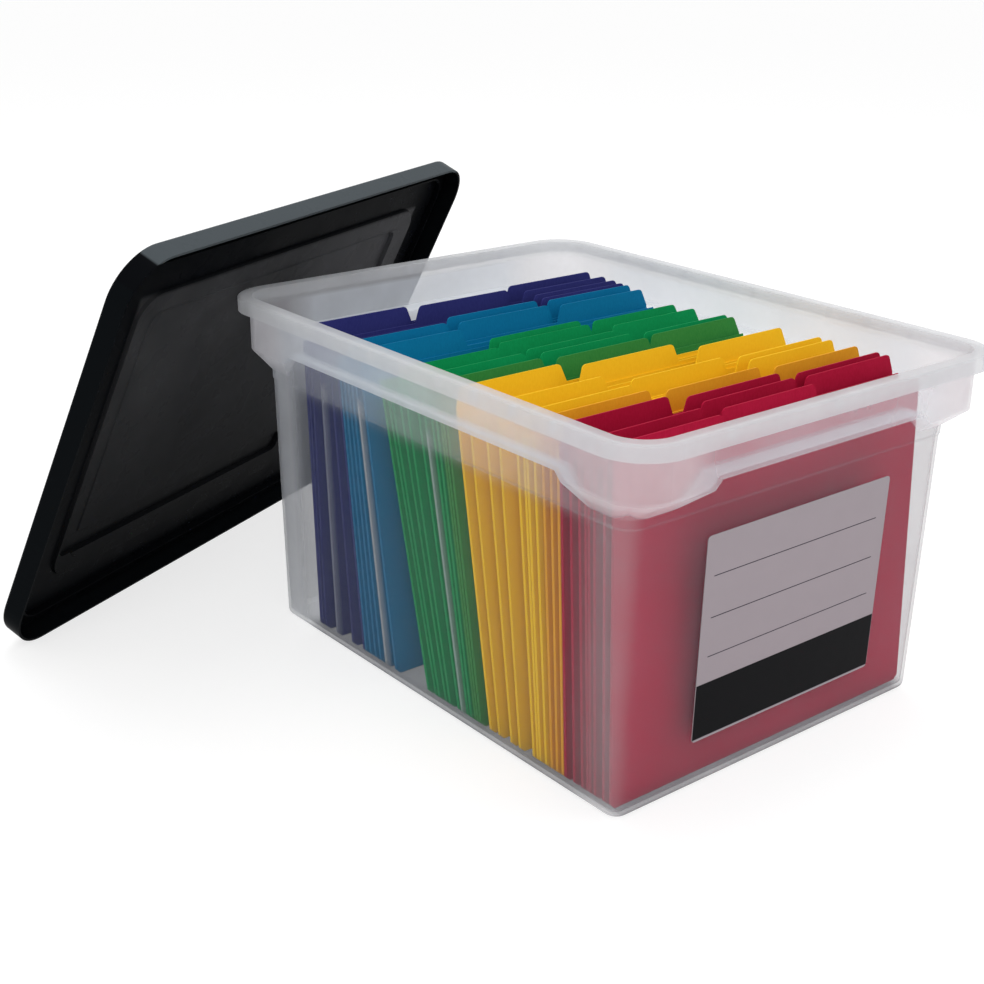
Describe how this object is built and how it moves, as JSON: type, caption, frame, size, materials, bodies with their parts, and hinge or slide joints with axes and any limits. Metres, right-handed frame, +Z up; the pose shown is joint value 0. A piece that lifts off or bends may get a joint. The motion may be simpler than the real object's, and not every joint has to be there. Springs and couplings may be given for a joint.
{
  "type": "portable file box",
  "caption": "Translucent plastic tote with a deep rim, hand grips under its ledge and a front label, filled with tabbed folders, its black lid leaning against a rear corner.",
  "frame": {"origin": "centre of the tote's underside, on the surface it stands on", "axes": "+Z up, -Y out through the labelled short wall, +X to the right as one faces that wall"},
  "size_m": [0.5451, 0.6994, 0.3348],
  "materials": {
    "tote_plastic": "milky, translucent, satin",
    "lid_plastic": "black, semi-gloss",
    "label_card": "matte card",
    "folder_navy": "matte card",
    "folder_blue": "matte card",
    "folder_green": "matte card",
    "folder_yellow": "matte card",
    "folder_red": "matte card"
  },
  "bodies": {
    "tote": {"tote": "tote_plastic", "label": "label_card"},
    "lid": {"lid": "lid_plastic"},
    "folder_navy_1": {"folder_navy_1": "folder_navy"},
    "folder_navy_2": {"folder_navy_2": "folder_navy"},
    "folder_navy_3": {"folder_navy_3": "folder_navy"},
    "folder_navy_4": {"folder_navy_4": "folder_navy"},
    "folder_navy_5": {"folder_navy_5": "folder_navy"},
    "folder_navy_6": {"folder_navy_6": "folder_navy"},
    "folder_blue_1": {"folder_blue_1": "folder_blue"},
    "folder_blue_2": {"folder_blue_2": "folder_blue"},
    "folder_blue_3": {"folder_blue_3": "folder_blue"},
    "folder_blue_4": {"folder_blue_4": "folder_blue"},
    "folder_blue_5": {"folder_blue_5": "folder_blue"},
    "folder_blue_6": {"folder_blue_6": "folder_blue"},
    "folder_green_1": {"folder_green_1": "folder_green"},
    "folder_green_2": {"folder_green_2": "folder_green"},
    "folder_green_3": {"folder_green_3": "folder_green"},
    "folder_green_4": {"folder_green_4": "folder_green"},
    "folder_green_5": {"folder_green_5": "folder_green"},
    "folder_green_6": {"folder_green_6": "folder_green"},
    "folder_green_7": {"folder_green_7": "folder_green"},
    "folder_green_8": {"folder_green_8": "folder_green"},
    "folder_green_9": {"folder_green_9": "folder_green"},
    "folder_green_10": {"folder_green_10": "folder_green"},
    "folder_green_11": {"folder_green_11": "folder_green"},
    "folder_green_12": {"folder_green_12": "folder_green"},
    "folder_yellow_1": {"folder_yellow_1": "folder_yellow"},
    "folder_yellow_2": {"folder_yellow_2": "folder_yellow"},
    "folder_yellow_3": {"folder_yellow_3": "folder_yellow"},
    "folder_yellow_4": {"folder_yellow_4": "folder_yellow"},
    "folder_yellow_5": {"folder_yellow_5": "folder_yellow"},
    "folder_yellow_6": {"folder_yellow_6": "folder_yellow"},
    "folder_yellow_7": {"folder_yellow_7": "folder_yellow"},
    "folder_yellow_8": {"folder_yellow_8": "folder_yellow"},
    "folder_yellow_9": {"folder_yellow_9": "folder_yellow"},
    "folder_yellow_10": {"folder_yellow_10": "folder_yellow"},
    "folder_yellow_11": {"folder_yellow_11": "folder_yellow"},
    "folder_red_1": {"folder_red_1": "folder_red"},
    "folder_red_2": {"folder_red_2": "folder_red"},
    "folder_red_3": {"folder_red_3": "folder_red"},
    "folder_red_4": {"folder_red_4": "folder_red"},
    "folder_red_5": {"folder_red_5": "folder_red"},
    "folder_red_6": {"folder_red_6": "folder_red"},
    "folder_red_7": {"folder_red_7": "folder_red"},
    "folder_red_8": {"folder_red_8": "folder_red"}
  },
  "joints": [
    {"name": "lid_lift", "type": "slide", "parent": "tote", "child": "lid", "axis": [0, 0, 1], "range_m": [0, 0.3]},
    {"name": "folder_navy_1_lift", "type": "slide", "parent": "tote", "child": "folder_navy_1", "axis": [0, 0.0487, 0.9988], "range_m": [0, 0.28]},
    {"name": "folder_navy_2_lift", "type": "slide", "parent": "tote", "child": "folder_navy_2", "axis": [0, 0.0453, 0.999], "range_m": [0, 0.28]},
    {"name": "folder_navy_3_lift", "type": "slide", "parent": "tote", "child": "folder_navy_3", "axis": [0, 0.0447, 0.999], "range_m": [0, 0.28]},
    {"name": "folder_navy_4_lift", "type": "slide", "parent": "tote", "child": "folder_navy_4", "axis": [0, 0.0622, 0.9981], "range_m": [0, 0.28]},
    {"name": "folder_navy_5_lift", "type": "slide", "parent": "tote", "child": "folder_navy_5", "axis": [0, 0.0987, 0.9951], "range_m": [0, 0.28]},
    {"name": "folder_navy_6_lift", "type": "slide", "parent": "tote", "child": "folder_navy_6", "axis": [0, 0.1218, 0.9926], "range_m": [0, 0.28]},
    {"name": "folder_blue_1_lift", "type": "slide", "parent": "tote", "child": "folder_blue_1", "axis": [0, 0.1218, 0.9926], "range_m": [0, 0.28]},
    {"name": "folder_blue_2_lift", "type": "slide", "parent": "tote", "child": "folder_blue_2", "axis": [0, 0.1286, 0.9917], "range_m": [0, 0.28]},
    {"name": "folder_blue_3_lift", "type": "slide", "parent": "tote", "child": "folder_blue_3", "axis": [0, 0.1365, 0.9906], "range_m": [0, 0.28]},
    {"name": "folder_blue_4_lift", "type": "slide", "parent": "tote", "child": "folder_blue_4", "axis": [0, 0.1435, 0.9897], "range_m": [0, 0.28]},
    {"name": "folder_blue_5_lift", "type": "slide", "parent": "tote", "child": "folder_blue_5", "axis": [0, 0.1521, 0.9884], "range_m": [0, 0.28]},
    {"name": "folder_blue_6_lift", "type": "slide", "parent": "tote", "child": "folder_blue_6", "axis": [0, 0.1702, 0.9854], "range_m": [0, 0.28]},
    {"name": "folder_green_1_lift", "type": "slide", "parent": "tote", "child": "folder_green_1", "axis": [0, 0.2393, 0.9709], "range_m": [0, 0.28]},
    {"name": "folder_green_2_lift", "type": "slide", "parent": "tote", "child": "folder_green_2", "axis": [0, 0.2503, 0.9682], "range_m": [0, 0.28]},
    {"name": "folder_green_3_lift", "type": "slide", "parent": "tote", "child": "folder_green_3", "axis": [0, 0.2492, 0.9685], "range_m": [0, 0.28]},
    {"name": "folder_green_4_lift", "type": "slide", "parent": "tote", "child": "folder_green_4", "axis": [0, 0.2411, 0.9705], "range_m": [0, 0.28]},
    {"name": "folder_green_5_lift", "type": "slide", "parent": "tote", "child": "folder_green_5", "axis": [0, 0.2272, 0.9738], "range_m": [0, 0.28]},
    {"name": "folder_green_6_lift", "type": "slide", "parent": "tote", "child": "folder_green_6", "axis": [0, 0.2132, 0.977], "range_m": [0, 0.28]},
    {"name": "folder_green_7_lift", "type": "slide", "parent": "tote", "child": "folder_green_7", "axis": [0, 0.1995, 0.9799], "range_m": [0, 0.28]},
    {"name": "folder_green_8_lift", "type": "slide", "parent": "tote", "child": "folder_green_8", "axis": [0, 0.1915, 0.9815], "range_m": [0, 0.28]},
    {"name": "folder_green_9_lift", "type": "slide", "parent": "tote", "child": "folder_green_9", "axis": [0, 0.1866, 0.9824], "range_m": [0, 0.28]},
    {"name": "folder_green_10_lift", "type": "slide", "parent": "tote", "child": "folder_green_10", "axis": [0, 0.1852, 0.9827], "range_m": [0, 0.28]},
    {"name": "folder_green_11_lift", "type": "slide", "parent": "tote", "child": "folder_green_11", "axis": [0, 0.185, 0.9827], "range_m": [0, 0.28]},
    {"name": "folder_green_12_lift", "type": "slide", "parent": "tote", "child": "folder_green_12", "axis": [0, 0.1805, 0.9836], "range_m": [0, 0.28]},
    {"name": "folder_yellow_1_lift", "type": "slide", "parent": "tote", "child": "folder_yellow_1", "axis": [0, 0.1725, 0.985], "range_m": [0, 0.28]},
    {"name": "folder_yellow_2_lift", "type": "slide", "parent": "tote", "child": "folder_yellow_2", "axis": [0, 0.1575, 0.9875], "range_m": [0, 0.28]},
    {"name": "folder_yellow_3_lift", "type": "slide", "parent": "tote", "child": "folder_yellow_3", "axis": [0, 0.1398, 0.9902], "range_m": [0, 0.28]},
    {"name": "folder_yellow_4_lift", "type": "slide", "parent": "tote", "child": "folder_yellow_4", "axis": [0, 0.1207, 0.9927], "range_m": [0, 0.28]},
    {"name": "folder_yellow_5_lift", "type": "slide", "parent": "tote", "child": "folder_yellow_5", "axis": [0, 0.1059, 0.9944], "range_m": [0, 0.28]},
    {"name": "folder_yellow_6_lift", "type": "slide", "parent": "tote", "child": "folder_yellow_6", "axis": [0, 0.0951, 0.9955], "range_m": [0, 0.28]},
    {"name": "folder_yellow_7_lift", "type": "slide", "parent": "tote", "child": "folder_yellow_7", "axis": [0, 0.0938, 0.9956], "range_m": [0, 0.28]},
    {"name": "folder_yellow_8_lift", "type": "slide", "parent": "tote", "child": "folder_yellow_8", "axis": [0, 0.087, 0.9962], "range_m": [0, 0.28]},
    {"name": "folder_yellow_9_lift", "type": "slide", "parent": "tote", "child": "folder_yellow_9", "axis": [0, 0.0769, 0.997], "range_m": [0, 0.28]},
    {"name": "folder_yellow_10_lift", "type": "slide", "parent": "tote", "child": "folder_yellow_10", "axis": [0, 0.0672, 0.9977], "range_m": [0, 0.28]},
    {"name": "folder_yellow_11_lift", "type": "slide", "parent": "tote", "child": "folder_yellow_11", "axis": [0, 0.0612, 0.9981], "range_m": [0, 0.28]},
    {"name": "folder_red_1_lift", "type": "slide", "parent": "tote", "child": "folder_red_1", "axis": [0, 0.0615, 0.9981], "range_m": [0, 0.28]},
    {"name": "folder_red_2_lift", "type": "slide", "parent": "tote", "child": "folder_red_2", "axis": [0, 0.0613, 0.9981], "range_m": [0, 0.28]},
    {"name": "folder_red_3_lift", "type": "slide", "parent": "tote", "child": "folder_red_3", "axis": [0, 0.0602, 0.9982], "range_m": [0, 0.28]},
    {"name": "folder_red_4_lift", "type": "slide", "parent": "tote", "child": "folder_red_4", "axis": [0, 0.0584, 0.9983], "range_m": [0, 0.28]},
    {"name": "folder_red_5_lift", "type": "slide", "parent": "tote", "child": "folder_red_5", "axis": [0, 0.0565, 0.9984], "range_m": [0, 0.28]},
    {"name": "folder_red_6_lift", "type": "slide", "parent": "tote", "child": "folder_red_6", "axis": [0, 0.0527, 0.9986], "range_m": [0, 0.28]},
    {"name": "folder_red_7_lift", "type": "slide", "parent": "tote", "child": "folder_red_7", "axis": [0, 0.048, 0.9988], "range_m": [0, 0.28]},
    {"name": "folder_red_8_lift", "type": "slide", "parent": "tote", "child": "folder_red_8", "axis": [0, 0.0422, 0.9991], "range_m": [0, 0.28]}
  ]
}
